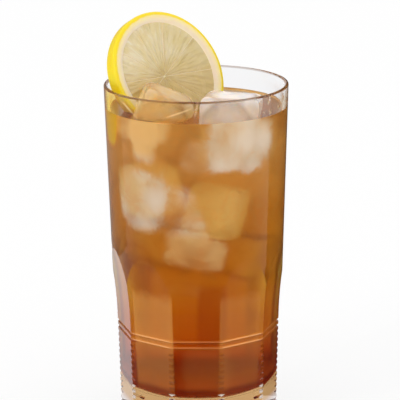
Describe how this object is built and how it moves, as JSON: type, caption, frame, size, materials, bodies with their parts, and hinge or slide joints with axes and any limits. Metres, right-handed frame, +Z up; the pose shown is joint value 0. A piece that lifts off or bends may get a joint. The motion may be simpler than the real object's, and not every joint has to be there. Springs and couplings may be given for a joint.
{
  "type": "glass of iced tea with lemon",
  "caption": "Tall tapered tumbler with flat cut panels round its foot, filled with iced tea over ice, with a lemon wheel standing in the mouth.",
  "frame": {"origin": "middle of the underside of the foot, on the surface the glass stands on", "axes": "+Z up along the tumbler's axis, -Y towards the front, where a flat panel faces; the lemon wheel stands on the -X and +Y side"},
  "size_m": [0.073, 0.073, 0.1648],
  "materials": {
    "cut_glass": "clear polished cut glass",
    "tea": "amber drink, cloudy gold at the top and deep amber at the foot",
    "lemon": "yellow peel, cream pith and wet pulp",
    "ice": "wet ice, partly cloudy"
  },
  "bodies": {
    "root": {"tumbler": "cut_glass", "iced_tea": "tea", "lemon_wheel": "lemon", "ice_block_right": "ice", "ice_block_left": "ice"}
  },
  "joints": []
}
